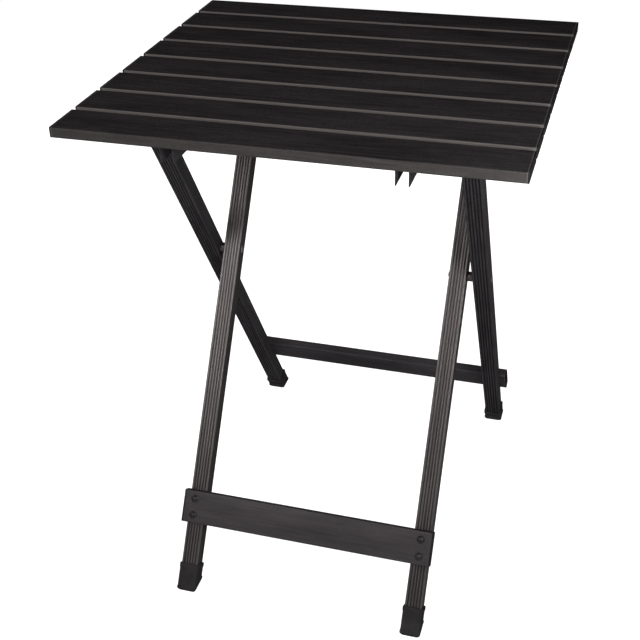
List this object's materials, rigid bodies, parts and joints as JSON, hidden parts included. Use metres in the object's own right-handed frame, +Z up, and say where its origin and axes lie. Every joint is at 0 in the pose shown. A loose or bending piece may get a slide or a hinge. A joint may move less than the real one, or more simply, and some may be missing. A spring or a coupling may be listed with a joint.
{
  "type": "folding picnic table",
  "caption": "Folding picnic table with a flat slatted metal top on a scissor frame of grooved leg tubes, joined by flat stretchers and standing on angled foot caps.",
  "frame": {"origin": "on the floor, midway between the front and rear feet, in the middle plane", "axes": "+X along the slats to the right, +Y to the back, +Z up"},
  "size_m": [0.57, 0.5655, 0.72],
  "materials": {
    "slat_top": "matte black coated aluminium",
    "leg_metal": "dark bronze-grey anodised",
    "dark_metal": "near-black anodised",
    "end_cap": "moulded, matte",
    "foot": "moulded, matte",
    "rivet": "dark coated",
    "steel": "zinc plated",
    "sleeve": "moulded, matte"
  },
  "bodies": {
    "table_top": {"slat_1": "slat_top", "slat_2": "slat_top", "slat_3": "slat_top", "slat_4": "slat_top", "slat_5": "slat_top", "slat_6": "slat_top", "slat_7": "slat_top", "slat_8": "slat_top", "slat_cap_l_1": "end_cap", "slat_cap_l_2": "end_cap", "slat_cap_l_3": "end_cap", "slat_cap_l_4": "end_cap", "slat_cap_l_5": "end_cap", "slat_cap_l_6": "end_cap", "slat_cap_l_7": "end_cap", "slat_cap_l_8": "end_cap", "slat_cap_r_1": "end_cap", "slat_cap_r_2": "end_cap", "slat_cap_r_3": "end_cap", "slat_cap_r_4": "end_cap", "slat_cap_r_5": "end_cap", "slat_cap_r_6": "end_cap", "slat_cap_r_7": "end_cap", "slat_cap_r_8": "end_cap", "rail_l": "dark_metal", "rail_r": "dark_metal", "slat_rivets_l": "rivet", "slat_rivets_r": "rivet"},
    "outer_frame": {"outer_leg_l": "dark_metal", "outer_leg_r": "dark_metal", "outer_plug_l": "end_cap", "outer_plug_r": "end_cap", "outer_foot_l": "foot", "outer_foot_r": "foot", "rear_stretcher": "dark_metal", "rear_plug_l": "end_cap", "rear_plug_r": "end_cap", "rear_rivets": "rivet", "pivot_pin_l": "rivet", "pivot_pin_r": "rivet", "pivot_spacer_l": "sleeve", "pivot_spacer_r": "sleeve"},
    "inner_frame": {"inner_leg_l": "leg_metal", "inner_leg_r": "leg_metal", "inner_plug_l": "end_cap", "inner_plug_r": "end_cap", "inner_foot_l": "foot", "inner_foot_r": "foot", "front_stretcher": "leg_metal", "front_plug_l": "end_cap", "front_plug_r": "end_cap", "front_rivets": "rivet", "catch_rod": "steel", "catch_collar_l": "sleeve", "catch_collar_r": "sleeve", "catch_nuts": "steel"},
    "hinge_rod": {"hinge_rod": "steel", "hinge_sleeve_l": "sleeve", "hinge_sleeve_r": "sleeve", "hinge_nuts": "steel"}
  },
  "joints": [
    {"name": "leg_fold", "type": "hinge", "parent": "outer_frame", "child": "inner_frame", "pos_m": [0, 0.007, 0.429], "axis": [1, 0, 0], "range_deg": [0, 60]},
    {"name": "top_follow", "type": "hinge", "parent": "outer_frame", "child": "hinge_rod", "pos_m": [0, -0.15288, 0.68991], "axis": [1, 0, 0], "range_deg": [0, 30]},
    {"name": "top_lift", "type": "hinge", "parent": "hinge_rod", "child": "table_top", "pos_m": [0, -0.15288, 0.68991], "axis": [1, 0, 0], "range_deg": [0, 90]}
  ],
  "couplings": [
    {"joint": "top_follow", "follows": "leg_fold", "ratio": 0.5}
  ]
}
